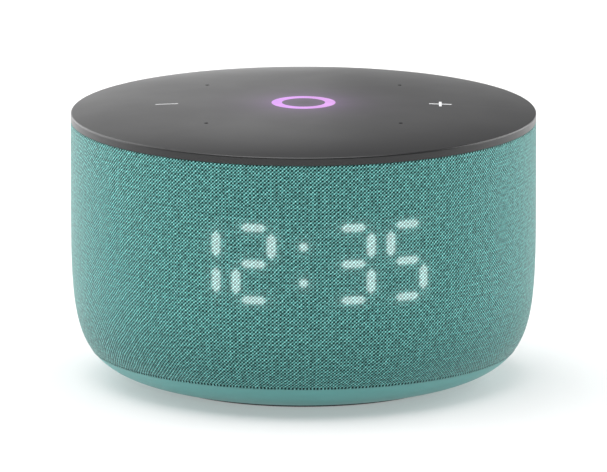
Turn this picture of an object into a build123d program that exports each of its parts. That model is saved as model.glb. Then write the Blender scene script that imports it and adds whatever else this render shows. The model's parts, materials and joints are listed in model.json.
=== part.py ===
from build123d import *

import os
from math import cos, degrees, radians, sin

# A drum-shaped smart speaker: a domed touch cover, a fabric sleeve on a plastic grille frame with a clock
# display behind it, a sealed speaker chamber, a main board and a coloured base shell on a rubber foot.
# Millimetres. +Z is up, the origin is on the table under the drum's axis, and the clock faces -Y.

# ---------------------------------------------------------------- outside of the drum
body_radius = 56.0
rim_height = 64.9  # sharp top edge of the side band, above the table
crown_rise = 2.3  # how far the cover's middle stands above that edge
crown_flat = 30.0  # reach of the nearly level middle of the dome
crown_fall = 12.0  # width over which the dome runs down to the edge
crown_fall_rise = 1.8  # height of the dome above the edge at the start of that fall
band_height = 1.9  # visible side band of the cover
band_edge_radius = 0.4
foot_height = 0.8  # gap under the base shell
curve_top = 42.3  # below this height the side curves in
curve_pull = 29.8
bottom_tuck = 18.2  # from the skin in to the flat underside of the base shell
bottom_pull = 17.3
bottom_pull_rise = 3.6
seam_height = 7.4  # where the fabric ends and the base shell begins

# ---------------------------------------------------------------- walls and clearances
fabric_thickness = 0.8
frame_wall = 2.2
hem_width = 2.4
base_wall = 2.4
cover_wall = 1.8
skirt_wall = 1.5
fit_gap = 0.15
loose_gap = 0.3

# ---------------------------------------------------------------- touch cover
icon_inset = 23.1  # from the skin in to the circle of the microphones and volume marks
mic_hole_radius = 0.5
mic_tube_radius = 2.4
ring_outer_radius = 7.7
ring_inner_radius = 5.2
guide_flange = 1.0
guide_web = 1.2
icon_length = 5.4
icon_stroke = 0.6
hook_width, hook_height, hook_depth = 6.0, 1.4, 0.6
hook_count = 6
hook_rise = 2.0  # from the tray to the middle of a hook
seat_top_drop = 1.2  # the tubes and seats join the cover this far under the middle of the dome

# ---------------------------------------------------------------- boards and the parts on them
top_board_inset = 16.0  # from the skin to the edge of the top board
top_board_thickness = 1.2
gasket_height = 2.0
mic_size = (3.5, 2.7, 1.0)
led_size = (1.6, 1.6, 0.7)
status_led_count = 8
main_board_inset = 18.0
main_board_thickness = 1.6
board_tab_width = 34.0
board_tab_inset = 6.7  # from the skin to the end of the tab that carries the ports
board_over_seam = 3.6  # from the seam up to the underside of the main board
component_room = 5.4  # between the main board and the chamber
connector_size = (10.0, 4.0, 2.4)
ribbon_width, ribbon_thickness, ribbon_bend = 8.0, 0.3, 1.5
cable_fold = 12.0  # from a ribbon cable's upright run to the middle of its connector
cable_room = 1.0  # free space round the ribbon cable where it passes the tray
amplifier_size, amplifier_spot = (7.0, 7.0, 1.0), (-15.0, 0.0)
inductor_size, inductor_spots = (6.0, 6.0, 3.4), ((-16.0, 12.0), (-16.0, -12.0))
inductor_corner = 1.0
capacitor_radius, capacitor_height, capacitor_pitch, capacitor_edge = 3.15, 4.6, 9.0, 0.5
memory_size, memory_spot = (11.0, 9.0, 1.0), (18.0, 0.0)
wireless_size, wireless_spot = (12.0, 10.0, 1.8), (0.0, -22.0)
shield_size = (18.0, 18.0, 1.5)
pad_width = 16.0
antenna_half_angle, antenna_rise, antenna_height = 20.0, 4.0, 8.0

# ---------------------------------------------------------------- display behind the fabric
display_centre = 38.9
digit_height = 17.6
inner_digit_angle = 12.3
outer_digit_angle = 26.3
digit_half_angle = 4.45
segment_length = 6.2
segment_width = 1.9
colon_radius = 1.05
housing_margin = 3.2  # from the middle of the top segments to the edge of the housing
housing_margin_angle = 4.25
housing_depth = 6.0
flange_rim, flange_rim_angle = 2.0, 3.5  # how far the flange reaches past the housing
flange_thickness = 1.3
flex_thickness = 0.3
lens_gap = 0.1
display_setback = 0.5  # from the frame's outer and inner faces to the display and its flange
lens_depth = 4.0
display_led_size = (1.2, 1.2, 0.7)

# ---------------------------------------------------------------- tray, chamber and driver
tray_thickness = 2.0
tray_drop = 4.7  # from the top of the frame down to the tray
ledge_height, ledge_width = 1.5, 2.4
board_lift = 2.5
top_screw_circle = 26.0
tray_screw_inset = 4.5  # from the chamber's wall to the tray screws
top_cable_x, top_cable_inset = -16.0, 11.5  # the cable's inset is from the skin
slot_count, slot_sweep, slot_width, slot_margin = 37, 270.0, 4.6, 0.5
sound_gap = 9.0  # height of the ring that the sound leaves through
deflector_radius, deflector_depth = 18.0, 5.0
chamber_inset = 16.0  # from the drum's skin to the chamber's wall
chamber_wall = 2.2
lid_thickness = 2.5
gasket_thickness = 0.6
ear_radius = 3.5
ear_reach = 4.5
ear_height = 12.0
driver_flange_radius = 30.0
driver_flange_width = 4.8
driver_flange_thickness = 1.2
driver_screw_inset = 2.3
basket_depth = 10.0
basket_foot_radius = 17.0
basket_wall = 1.0
basket_foot_thickness = 1.0
spider_ledge_width, spider_ledge_rise = 3.0, 2.2
basket_window_count, basket_window_width, basket_window_height = 6, 10.0, 3.6
tab_width, tab_thickness, tab_overhang = 8.0, 1.2, 3.0  # tab that carries the ends of the leads
motor_radius = 15.5
top_plate_thickness, magnet_thickness, back_plate_thickness = 2.5, 7.0, 2.5
pole_radius, gap_radius, magnet_setback = 6.2, 7.8, 2.0
former_inner_radius, former_radius, coil_radius = 6.6, 6.85, 7.3
surround_width = 5.2  # from the opening in the lid to the edge of the cone
cone_depth = 7.5
cone_thickness = 0.5
cap_rise = 2.4
roll_height = 2.3
surround_thickness = 0.5
spider_radius, spider_thickness = 15.2, 0.5
wave_count, first_wave, wave_pitch, wave_half = 3, 8.6, 2.0, 0.5  # rolled waves of the spider
coil_height = 6.0
coil_drop = 8.9  # from the cone's neck to the lower end of the coil
cap_radius = 8.5
lead_radius, lead_spacing = 0.6, 2.4
lead_start, lead_down = 23.5, 30.0  # how far the leads stand from the axis at the driver and at the floor
lead_drop, lead_shift_drop, lead_bend = 5.0, 9.0, 2.0
grommet_rim, grommet_rim_thickness = 1.0, 0.8

# ---------------------------------------------------------------- base, ports and fasteners
foot_margin, foot_thickness, foot_edge_radius = 1.8, 1.6, 0.5
foot_rim, foot_hollow_depth = 10.0, 0.3
lip_wall, lip_rise = 1.5, 3.0  # base lip that enters the grille frame
base_screw_inset = 6.0  # from the edge of the foot
screw_pad_rise, screw_pad_radius, screw_seat = 2.0, 4.6, 3.8
board_screw_inset, board_screw_angle = 4.5, -20.0
post_radius, post_bore = 3.2, 6.0
boss_cap, ear_cap = 2.0, 2.0  # solid left at the end of a screw's bore
spreader_inset, spreader_thickness, spreader_drop = 4.5, 2.0, 4.0
spreader_post_circle, spreader_post_count = 18.0, 3
port_width, port_height, port_corner = 36.0, 9.4, 2.0
port_lip, port_lip_rise = 0.9, 0.35
socket_width, socket_height, socket_depth, socket_wall = 8.94, 3.26, 7.6, 0.3
socket_setback = 3.6  # from the skin to the mouth of the socket
tongue_width, tongue_thickness, tongue_setback = 6.7, 0.7, 1.0
switch_offset = 11.5
switch_size = (9.0, 4.2, 3.6)
switch_setback = 9.8  # from the skin to the front of the switch
pocket_depth = 4.5  # from the skin to the floor of the slider's pocket
switch_travel = 3.0
knob_length, knob_height, knob_depth = 5.0, 2.8, 1.1
stem_length, stem_height, stem_entry, stem_room = 1.6, 1.2, 1.2, 1.8
groove_pitch, groove_count, groove_width, groove_depth, groove_margin = 1.2, 3, 0.5, 0.3, 0.4
small_screw = (1.0, 1.9, 1.2)  # shank radius, head radius, head height
large_screw = (1.4, 2.4, 1.4)
head_rounding, recess_share, recess_depth_share, tip_share = 0.4, 0.7, 0.6, 0.4
tray_grip, board_grip, base_grip = 6.0, 4.0, 7.0  # how far the screws enter what they hold
ear_screw_room, lid_screw_room = 3.0, 0.2  # left free under the tips of the other screws

# ---------------------------------------------------------------- levels worked out from the sizes above
base_bottom = foot_height
bottom_radius = body_radius - bottom_tuck
floor_top = base_bottom + base_wall
shell_depth = fabric_thickness + frame_wall
frame_inner_radius = body_radius - shell_depth
fabric_top = rim_height - band_height
frame_top = fabric_top - fabric_thickness
frame_bottom = seam_height + fabric_thickness
tray_radius = frame_inner_radius - loose_gap
skirt_radius = frame_inner_radius - fit_gap
tray_top = frame_top - tray_drop
tray_bottom = tray_top - tray_thickness
top_board_bottom = tray_top + board_lift
top_board_top = top_board_bottom + top_board_thickness
tube_end = top_board_top + gasket_height
lid_top = tray_bottom - sound_gap
lid_bottom = lid_top - lid_thickness
chamber_top = lid_bottom - gasket_thickness
board_height = seam_height + board_over_seam
board_top = board_height + main_board_thickness
chamber_floor = board_top + component_room
chamber_radius = body_radius - chamber_inset
ear_circle = chamber_radius + ear_reach
flange_bottom = lid_top + gasket_thickness
flange_top = flange_bottom + driver_flange_thickness
basket_foot = flange_bottom - basket_depth
magnet_top = basket_foot - top_plate_thickness
magnet_bottom = magnet_top - magnet_thickness
motor_bottom = magnet_bottom - back_plate_thickness
neck_height = flange_top - cone_depth
icon_circle_radius = body_radius - icon_inset
top_board_radius = body_radius - top_board_inset
top_cable_y = body_radius - top_cable_inset
tray_screw_circle = chamber_radius - tray_screw_inset
driver_opening_radius = driver_flange_radius - driver_flange_width
driver_screw_circle = driver_flange_radius - driver_screw_inset
cone_radius = driver_opening_radius - surround_width
grommet_radius = 3 * lead_radius + lead_spacing / 2
main_board_radius = body_radius - main_board_inset
board_screw_circle = main_board_radius - board_screw_inset
board_tab_reach = body_radius - board_tab_inset
foot_radius = bottom_radius - foot_margin
base_screw_circle = foot_radius - base_screw_inset
spreader_radius = base_screw_circle - spreader_inset
spreader_height = board_height - spreader_drop
shield_bottom = board_height - shield_size[2]
pad_bottom = spreader_height + spreader_thickness
socket_front = body_radius - socket_setback
switch_front = body_radius - switch_setback
switch_floor = body_radius - pocket_depth
port_centre = board_top + socket_height / 2
housing_height = digit_height + 2 * housing_margin
housing_half_angle = outer_digit_angle + digit_half_angle + housing_margin_angle
flange_height = housing_height + 2 * flange_rim
flange_half_angle = housing_half_angle + flange_rim_angle
display_face = body_radius - fabric_thickness - display_setback
display_back = display_face - housing_depth
flange_face = frame_inner_radius - display_setback
seat_top = rim_height + crown_rise - seat_top_drop
boss_bottom = floor_top + screw_pad_rise
FRONT = -90.0  # angle of the clock's side about +Z
section_top = rim_height + 4 * crown_rise


def half_outline(inset):
    """Lines round half the drum's section, every wall moved in by inset."""
    side = body_radius - inset
    low = base_bottom + inset
    curve = Bezier(
        (side, curve_top),
        (side, curve_top - curve_pull),
        (bottom_radius + bottom_pull - inset, low + bottom_pull_rise),
        (bottom_radius, low),
    )
    Polyline(curve @ 1, (0, low), (0, section_top), (side, section_top), curve @ 0)


def wall_section(outer_inset, inner_inset, low, high):
    """Section of a wall of the drum between two depths below its skin and between two heights."""
    with BuildSketch(Plane.XY, mode=Mode.PRIVATE) as section:
        with BuildLine():
            half_outline(outer_inset)
        make_face()
        with BuildLine():
            half_outline(inner_inset)
        make_face(mode=Mode.SUBTRACT)
        with Locations((0, (low + high) / 2)):
            Rectangle(4 * body_radius, high - low, mode=Mode.INTERSECT)
    return section.sketch_local


def dome_section(drop, low, reach):
    """Half-section of the space under the cover's domed top line, out to a radius and down to a level."""
    with BuildSketch(Plane.XY, mode=Mode.PRIVATE) as section:
        with BuildLine():
            dome = Bezier(
                (0, rim_height + crown_rise - drop),
                (crown_flat, rim_height + crown_rise - drop),
                (body_radius - crown_fall, rim_height + crown_fall_rise - drop),
                (body_radius, rim_height - drop),
            )
            Polyline(dome @ 1, (body_radius, low), (0, low), dome @ 0)
        make_face()
        Rectangle(2 * reach, 4 * rim_height, mode=Mode.INTERSECT)
    return section.sketch_local


def sector(outer, inner, centre, half_angle):
    """Part of a ring about the axis that reaches half_angle to each side of an angle."""
    sides = [radians(centre - half_angle), radians(centre + half_angle)]
    tips = [(2 * outer * cos(a), 2 * outer * sin(a)) for a in sides]
    with BuildSketch(Plane.XY, mode=Mode.PRIVATE) as shape:
        Circle(outer)
        Circle(inner, mode=Mode.SUBTRACT)
        Polygon((0, 0), *tips, align=None, mode=Mode.INTERSECT)
    return shape.sketch_local


def facing_plane(angle, distance):
    """Upright plane square to the radius at an angle: local x runs round the drum, local y is up."""
    outward = (cos(radians(angle)), sin(radians(angle)), 0)
    around = (-outward[1], outward[0], 0)
    return Plane(origin=(distance * outward[0], distance * outward[1], 0), x_dir=around, z_dir=outward)


def ring(outer, inner, low, high):
    """A plain ring about the drum's axis, between two heights; a disc where inner is 0."""
    with BuildPart() as band:
        with BuildSketch(Plane.XY.offset(low)):
            Circle(outer)
            if inner:
                Circle(inner, mode=Mode.SUBTRACT)
        extrude(amount=high - low)
    return band.part


def arc_block(outer, inner, centre, half_angle, low, high):
    """A curved block about the drum's axis, between two heights."""
    with BuildPart() as block:
        with BuildSketch(Plane.XY.offset(low)):
            add(sector(outer, inner, centre, half_angle))
        extrude(amount=high - low)
    return block.part


def plus_shape():
    """Two crossed bars of the volume-up mark."""
    Rectangle(icon_length, icon_stroke)
    Rectangle(icon_stroke, icon_length)


def port_block(outer_inset, inner_inset, grow):
    """The part of the drum's wall inside the rear port's outline, which is grown on every side."""
    with BuildPart() as block:
        with BuildSketch(Plane.XZ):
            add(wall_section(outer_inset, inner_inset, seam_height, curve_top))
        revolve(axis=Axis.Z)
        with BuildSketch(Plane.XZ):
            add(port_outline(grow))
        extrude(amount=-body_radius - port_lip_rise, mode=Mode.INTERSECT)
    return block.part


def port_outline(grow):
    """Outline of the rear port as seen from behind, grown on every side."""
    with BuildSketch(Plane.XY, mode=Mode.PRIVATE) as shape:
        with Locations((0, port_centre)):
            RectangleRounded(port_width + 2 * grow, port_height + 2 * grow, port_corner + grow)
    return shape.sketch_local


def segment_shape(lying, grow):
    """Long hexagon of one display segment."""
    tip, side = segment_length / 2 + grow, segment_width / 2 + grow
    upper = [(tip, 0), (tip - side, side), (side - tip, side)]
    lower = [(-x, -y) for x, y in upper]
    Polygon(*upper, *lower, rotation=0 if lying else 90)


def segment_prisms(spots, inner, outer, grow):
    """Prisms of the display segments, from an inner radius out to a rounded face."""
    with BuildPart() as prisms:
        for angle, height, lying in spots:
            with BuildSketch(facing_plane(angle, inner)):
                with Locations((0, height)):
                    if lying is None:
                        Circle(colon_radius + grow)
                    else:
                        segment_shape(lying, grow)
            extrude(amount=outer - inner + 1)
        with BuildSketch(Plane.XY):
            Circle(outer)
        extrude(amount=rim_height, mode=Mode.INTERSECT)
    return prisms.part


def fastener(size, length):
    """Pan-head screw with a square recess. Its head rests on Z = 0 and its shank points down."""
    shank, head, height = size
    with BuildPart() as screw:
        with BuildSketch(Plane.XY):
            Circle(head)
        extrude(amount=height)
        fillet(screw.edges().group_by(Axis.Z)[-1], height * head_rounding)
        with BuildSketch(Plane.XY.offset(height)):
            Rectangle(head * recess_share, head * recess_share)
        extrude(amount=-height * recess_depth_share, mode=Mode.SUBTRACT)
        with BuildSketch(Plane.XY):
            Circle(shank)
        extrude(amount=-length)
        chamfer(screw.edges().group_by(Axis.Z)[0], shank * tip_share)
    return screw.part


def boxes_on(level, size, *spots):
    """Equal boxes that stand on a level, at places (x, y)."""
    with BuildPart() as boxes:
        for x, y in spots:
            with Locations((x, y, level + size[2] / 2)):
                Box(*size)
    return boxes.part


def ribbon(points, x_centre):
    """Flat cable of constant width that follows points (y, z)."""
    with BuildPart() as cable:
        with BuildSketch(Plane.YZ.offset(x_centre - ribbon_width / 2)):
            with BuildLine():
                FilletPolyline(*points, radius=ribbon_bend)
                offset(amount=ribbon_thickness, side=Side.LEFT)
            make_face()
        extrude(amount=ribbon_width)
    return cable.part


def save(piece, name):
    """Labels a finished piece and writes it as its own STEP file."""
    piece.part.label = name
    export_step(piece.part, f"parts/{name}.step")


os.makedirs("parts", exist_ok=True)

mic_spots = PolarLocations(icon_circle_radius, 4, start_angle=45)
minus_spot, plus_spot = (-icon_circle_radius, 0), (icon_circle_radius, 0)
ear_spots = PolarLocations(ear_circle, 4, start_angle=45)
top_screw_spots = PolarLocations(top_screw_circle, 4)
tray_screw_spots = PolarLocations(tray_screw_circle, 4)
driver_screw_spots = PolarLocations(driver_screw_circle, 4, start_angle=45)
boss_spots = PolarLocations(base_screw_circle, 4, start_angle=45)
board_screw_spots = PolarLocations(board_screw_circle, 4, start_angle=board_screw_angle)
small_shank, small_head = small_screw[:2]
large_shank, large_head = large_screw[:2]

# ================================================================ touch cover and its lights
with BuildPart() as top_cover:
    # Domed top with the visible side band.
    with BuildSketch(Plane.XZ):
        add(dome_section(0, fabric_top, body_radius))
    revolve(axis=Axis.Z)
    rim_edges = top_cover.edges().filter_by(GeomType.CIRCLE).group_by(SortBy.RADIUS)[-1]
    fillet(rim_edges.sort_by(Axis.Z)[-1], band_edge_radius)
    # Skirt that drops inside the grille frame, down to the tray.
    add(ring(skirt_radius, 0, tray_top, fabric_top))
    with BuildSketch(Plane.XZ):
        add(dome_section(cover_wall, tray_top, skirt_radius - skirt_wall))
    revolve(axis=Axis.Z, mode=Mode.SUBTRACT)
    # Sound tubes of the microphones, and seats of the light guide and of the volume marks.
    with BuildSketch(Plane.XY.offset(tube_end)):
        with mic_spots:
            Circle(mic_tube_radius)
        Circle(ring_outer_radius + guide_flange + cover_wall)
        with Locations(minus_spot, plus_spot):
            Circle(icon_length / 2 + cover_wall)
    extrude(amount=seat_top - tube_end)
    with BuildSketch(Plane.XY.offset(tube_end)):
        with mic_spots:
            Circle(mic_hole_radius)
        Circle(ring_outer_radius)
        with Locations(minus_spot):
            Rectangle(icon_length, icon_stroke)
        with Locations(plus_spot):
            plus_shape()
    extrude(amount=rim_height, mode=Mode.SUBTRACT)
    add(ring(ring_outer_radius + guide_flange, 0, tube_end, tube_end + guide_web), mode=Mode.SUBTRACT)
    # Snap hooks round the skirt.
    with PolarLocations(skirt_radius, hook_count):
        with Locations((0, 0, tray_top + hook_rise)):
            Box(2 * hook_depth, hook_width, hook_height)
save(top_cover, "top_cover")

with BuildPart() as status_light_guide:
    # A web with a round wall, which shows as a thin ring in the middle of the cover.
    with BuildSketch(Plane.XZ):
        add(dome_section(0, tube_end, ring_outer_radius))
    revolve(axis=Axis.Z)
    add(ring(ring_inner_radius, 0, tube_end + guide_web, 2 * rim_height), mode=Mode.SUBTRACT)
    add(ring(ring_outer_radius + guide_flange, 0, tube_end, tube_end + guide_web))
save(status_light_guide, "status_light_guide")

with BuildPart() as ring_centre_cap:
    with BuildSketch(Plane.XZ):
        add(dome_section(0, tube_end + guide_web, ring_inner_radius))
    revolve(axis=Axis.Z)
save(ring_centre_cap, "ring_centre_cap")

for icon_name, icon_spot in (("minus_lens", minus_spot), ("plus_lens", plus_spot)):
    with BuildPart() as icon_lens:
        with BuildSketch(Plane.XZ):
            add(dome_section(0, tube_end, body_radius))
        revolve(axis=Axis.Z)
        with BuildSketch(Plane.XY.offset(tube_end)):
            with Locations(icon_spot):
                if icon_name == "plus_lens":
                    plus_shape()
                else:
                    Rectangle(icon_length, icon_stroke)
        extrude(amount=rim_height, mode=Mode.INTERSECT)
    save(icon_lens, icon_name)

# ================================================================ top board
connector_length, connector_depth, connector_height = connector_size
mic_length, mic_depth, mic_height = mic_size
led_length, led_depth, led_height = led_size

with BuildPart() as top_board:
    with BuildSketch(Plane.XY.offset(top_board_bottom)):
        Circle(top_board_radius)
        with mic_spots:
            Circle(mic_hole_radius, mode=Mode.SUBTRACT)
        with top_screw_spots:
            Circle(small_shank + fit_gap, mode=Mode.SUBTRACT)
    extrude(amount=top_board_thickness)
save(top_board, "top_board")

with BuildPart() as microphone_gaskets:
    with BuildSketch(Plane.XY.offset(top_board_top)):
        with mic_spots:
            Circle(mic_tube_radius)
            Circle(2 * mic_hole_radius, mode=Mode.SUBTRACT)
    extrude(amount=gasket_height)
save(microphone_gaskets, "microphone_gaskets")

with BuildPart() as microphones:
    with mic_spots:
        with Locations((0, 0, top_board_bottom - mic_height / 2)):
            Box(mic_length, mic_depth, mic_height)
save(microphones, "microphones")

with BuildPart() as cover_leds:
    with PolarLocations((ring_outer_radius + ring_inner_radius) / 2, status_led_count):
        with Locations((0, 0, top_board_top + led_height / 2)):
            Box(led_length, led_depth, led_height)
    with Locations(minus_spot, plus_spot):
        with Locations((0, 0, top_board_top + led_height / 2)):
            Box(led_length, led_depth, led_height)
save(cover_leds, "cover_leds")

with BuildPart() as light_shrouds:
    # Dark foam walls that keep each light in its own well.
    with BuildSketch(Plane.XY.offset(top_board_top)):
        Circle(ring_outer_radius + guide_flange + cover_wall)
        Circle(ring_outer_radius + guide_flange, mode=Mode.SUBTRACT)
        with Locations(minus_spot, plus_spot):
            Circle(icon_length / 2 + cover_wall)
            Circle(icon_length / 2 + cover_wall / 2, mode=Mode.SUBTRACT)
    extrude(amount=gasket_height)
save(light_shrouds, "light_shrouds")

with BuildPart() as top_board_screws:
    with top_screw_spots:
        with Locations((0, 0, top_board_top)):
            add(fastener(small_screw, top_board_thickness + board_lift))
save(top_board_screws, "top_board_screws")

# ================================================================ tray and sound deflector
with BuildPart() as top_tray:
    add(ring(tray_radius, 0, tray_bottom, tray_top))
    with BuildSketch(Plane.XY.offset(tray_bottom)):
        with top_screw_spots:
            Circle(post_radius)
    extrude(amount=tray_thickness + board_lift)
    with BuildSketch(Plane.XY.offset(tray_bottom)):
        with top_screw_spots:
            Circle(small_shank)
        with tray_screw_spots:
            Circle(large_shank + fit_gap)
        with Locations((top_cable_x, top_cable_y)):
            Rectangle(ribbon_width + 2 * cable_room, 4 * cable_room)
    extrude(amount=tray_thickness + board_lift, mode=Mode.SUBTRACT)
save(top_tray, "top_tray")

with BuildPart() as sound_deflector:
    with BuildSketch(Plane.XZ):
        with BuildLine():
            Line((0, tray_bottom - deflector_depth), (0, tray_bottom))
            Line((0, tray_bottom), (deflector_radius, tray_bottom))
            Spline(
                (deflector_radius, tray_bottom),
                (deflector_radius / 3, tray_bottom - deflector_depth * 0.75),
                (0, tray_bottom - deflector_depth),
            )
        make_face()
    revolve(axis=Axis.Z)
save(sound_deflector, "sound_deflector")

with BuildPart() as tray_screws:
    with tray_screw_spots:
        with Locations((0, 0, tray_top)):
            add(fastener(large_screw, tray_thickness + tray_grip))
save(tray_screws, "tray_screws")

# ================================================================ fabric sleeve and grille frame
with BuildPart() as grille_frame:
    with BuildSketch(Plane.XZ):
        add(wall_section(fabric_thickness, shell_depth, frame_bottom, frame_top))
        with Locations((frame_inner_radius - ledge_width / 2, tray_bottom - ledge_height / 2)):
            Rectangle(ledge_width + frame_wall, ledge_height)
    revolve(axis=Axis.Z)
    # Window of the display, sound slots, rear port and pockets of the cover's hooks.
    window_half = housing_height / 2 + loose_gap
    window_angle = housing_half_angle + degrees(loose_gap / body_radius)
    window_low, window_high = display_centre - window_half, display_centre + window_half
    window = arc_block(2 * body_radius, chamber_radius, FRONT, window_angle, window_low, window_high)
    add(window, mode=Mode.SUBTRACT)
    slot_low, slot_high = lid_top + slot_margin, tray_bottom - ledge_height - slot_margin
    with PolarLocations(body_radius, slot_count, FRONT + (360 - slot_sweep) / 2, slot_sweep, endpoint=True):
        with Locations((0, 0, (slot_low + slot_high) / 2)):
            Box(4 * shell_depth, slot_width, slot_high - slot_low, mode=Mode.SUBTRACT)
    with BuildSketch(Plane.XZ):
        add(port_outline(0))
    extrude(amount=-2 * body_radius, mode=Mode.SUBTRACT)
    with PolarLocations(skirt_radius, hook_count):
        with Locations((0, 0, tray_top + hook_rise)):
            pocket = [size + 2 * fit_gap for size in (2 * hook_depth, hook_width, hook_height)]
            Box(*pocket, mode=Mode.SUBTRACT)
save(grille_frame, "grille_frame")

with BuildPart() as fabric_sleeve:
    # Knitted sleeve, turned in over both ends of the grille frame.
    with BuildSketch(Plane.XZ):
        add(wall_section(0, fabric_thickness, seam_height, fabric_top))
        add(wall_section(fabric_thickness / 2, hem_width, seam_height, frame_bottom))
        add(wall_section(fabric_thickness / 2, hem_width, frame_top, fabric_top))
    revolve(axis=Axis.Z)
    with BuildSketch(Plane.XZ):
        add(port_outline(0))
    extrude(amount=-2 * body_radius, mode=Mode.SUBTRACT)
save(fabric_sleeve, "fabric_sleeve")

# ================================================================ clock display
segment_layout = {
    "top": (0, 1, True),
    "middle": (0, 0, True),
    "bottom": (0, -1, True),
    "upper_left": (-1, 0.5, False),
    "lower_left": (-1, -0.5, False),
    "upper_right": (1, 0.5, False),
    "lower_right": (1, -0.5, False),
}
clock_digits = (
    (-outer_digit_angle, ("upper_right", "lower_right")),
    (-inner_digit_angle, ("top", "upper_right", "middle", "lower_left", "bottom")),
    (inner_digit_angle, ("top", "upper_right", "middle", "lower_right", "bottom")),
    (outer_digit_angle, ("top", "upper_left", "middle", "lower_right", "bottom")),
)
lit_spots = [(FRONT, display_centre + level * digit_height / 4, None) for level in (1, -1)]
unlit_spots = []
for digit_angle, lit_names in clock_digits:
    for segment_name, (side, level, lying) in segment_layout.items():
        angle = FRONT + digit_angle + side * digit_half_angle
        spot = (angle, display_centre + level * digit_height / 2, lying)
        if segment_name in lit_names:
            lit_spots.append(spot)
        else:
            unlit_spots.append(spot)
display_low = display_centre - housing_height / 2
display_high = display_centre + housing_height / 2

with BuildPart() as display_housing:
    add(arc_block(display_face, display_back, FRONT, housing_half_angle, display_low, display_high))
    flange_low, flange_high = display_centre - flange_height / 2, display_centre + flange_height / 2
    flange_back = flange_face - flange_thickness
    add(arc_block(flange_face, flange_back, FRONT, flange_half_angle, flange_low, flange_high))
    wells = segment_prisms(lit_spots + unlit_spots, display_back - 1, display_face + 1, lens_gap)
    add(wells, mode=Mode.SUBTRACT)
save(display_housing, "display_housing")

with BuildPart() as lit_segment_lenses:
    add(segment_prisms(lit_spots, display_face - lens_depth, display_face, 0))
save(lit_segment_lenses, "lit_segment_lenses")

with BuildPart() as unlit_segment_lenses:
    add(segment_prisms(unlit_spots, display_face - lens_depth, display_face, 0))
save(unlit_segment_lenses, "unlit_segment_lenses")

with BuildPart() as display_board:
    cable_face = display_back - flex_thickness
    add(arc_block(display_back, cable_face, FRONT, housing_half_angle, display_low, display_high))
save(display_board, "display_board")

with BuildPart() as display_leds:
    led_width, led_rise, led_depth_out = display_led_size
    for angle, height, lying in lit_spots + unlit_spots:
        with BuildSketch(facing_plane(angle, display_back)):
            with Locations((0, height)):
                Rectangle(led_width, led_rise)
        extrude(amount=led_depth_out)
save(display_leds, "display_leds")

# ================================================================ sealed speaker chamber
with BuildPart() as chamber_body:
    add(ring(chamber_radius, 0, chamber_floor, chamber_top))
    with BuildSketch(Plane.XY.offset(chamber_top - ear_height)):
        with ear_spots:
            Circle(ear_radius)
            with Locations((-(ear_reach + chamber_wall) / 2, 0)):
                Rectangle(ear_reach + chamber_wall, 2 * ear_radius)
    extrude(amount=ear_height)
    add(ring(chamber_radius - chamber_wall, 0, chamber_floor + chamber_wall, rim_height), mode=Mode.SUBTRACT)
    # Screw bosses that pass through the main board to the base.
    with BuildSketch(Plane.XY.offset(boss_bottom)):
        with boss_spots:
            Circle(post_radius)
    extrude(amount=chamber_floor - boss_bottom)
    with BuildSketch(Plane.XY.offset(boss_bottom)):
        with boss_spots:
            Circle(large_shank)
    extrude(amount=chamber_floor - boss_bottom - boss_cap, mode=Mode.SUBTRACT)
    with BuildSketch(Plane.XY.offset(chamber_top)):
        with ear_spots:
            Circle(large_shank)
    extrude(amount=ear_cap - ear_height, mode=Mode.SUBTRACT)
    with BuildSketch(Plane.XY.offset(chamber_floor)):
        with Locations((-lead_down, 0)):
            Circle(grommet_radius)
    extrude(amount=chamber_wall, mode=Mode.SUBTRACT)
save(chamber_body, "chamber_body")

with BuildPart() as chamber_gasket:
    with BuildSketch(Plane.XY.offset(chamber_top)):
        Circle(chamber_radius)
        with ear_spots:
            Circle(ear_radius)
            with Locations((-(ear_reach + chamber_wall) / 2, 0)):
                Rectangle(ear_reach + chamber_wall, 2 * ear_radius)
        Circle(chamber_radius - chamber_wall, mode=Mode.SUBTRACT)
        with ear_spots:
            Circle(large_shank + fit_gap, mode=Mode.SUBTRACT)
    extrude(amount=gasket_thickness)
save(chamber_gasket, "chamber_gasket")

with BuildPart() as chamber_lid:
    with BuildSketch(Plane.XY.offset(lid_bottom)):
        Circle(chamber_radius)
        with ear_spots:
            Circle(ear_radius)
            with Locations((-(ear_reach + chamber_wall) / 2, 0)):
                Rectangle(ear_reach + chamber_wall, 2 * ear_radius)
        Circle(driver_opening_radius, mode=Mode.SUBTRACT)
        with ear_spots:
            Circle(large_shank + fit_gap, mode=Mode.SUBTRACT)
        with driver_screw_spots:
            Circle(small_shank, mode=Mode.SUBTRACT)
    extrude(amount=lid_thickness)
    with BuildSketch(Plane.XY.offset(lid_top)):
        with tray_screw_spots:
            Circle(post_radius)
    extrude(amount=sound_gap)
    with BuildSketch(Plane.XY.offset(tray_bottom)):
        with tray_screw_spots:
            Circle(large_shank)
    extrude(amount=-sound_gap, mode=Mode.SUBTRACT)
save(chamber_lid, "chamber_lid")

with BuildPart() as chamber_screws:
    with ear_spots:
        with Locations((0, 0, lid_top)):
            add(fastener(large_screw, lid_thickness + gasket_thickness + ear_height - ear_screw_room))
save(chamber_screws, "chamber_screws")

# ================================================================ driver
cone_slope = cone_depth / (cone_radius - former_radius)
basket_top_radius = driver_opening_radius - loose_gap
foot_inner = basket_top_radius - basket_wall + fit_gap
foot_outer = driver_screw_circle - small_head - surround_thickness

with BuildPart() as driver_gasket:
    with BuildSketch(Plane.XY.offset(lid_top)):
        Circle(driver_flange_radius)
        Circle(driver_opening_radius, mode=Mode.SUBTRACT)
        with driver_screw_spots:
            Circle(small_shank + fit_gap, mode=Mode.SUBTRACT)
    extrude(amount=gasket_thickness)
save(driver_gasket, "driver_gasket")

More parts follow.
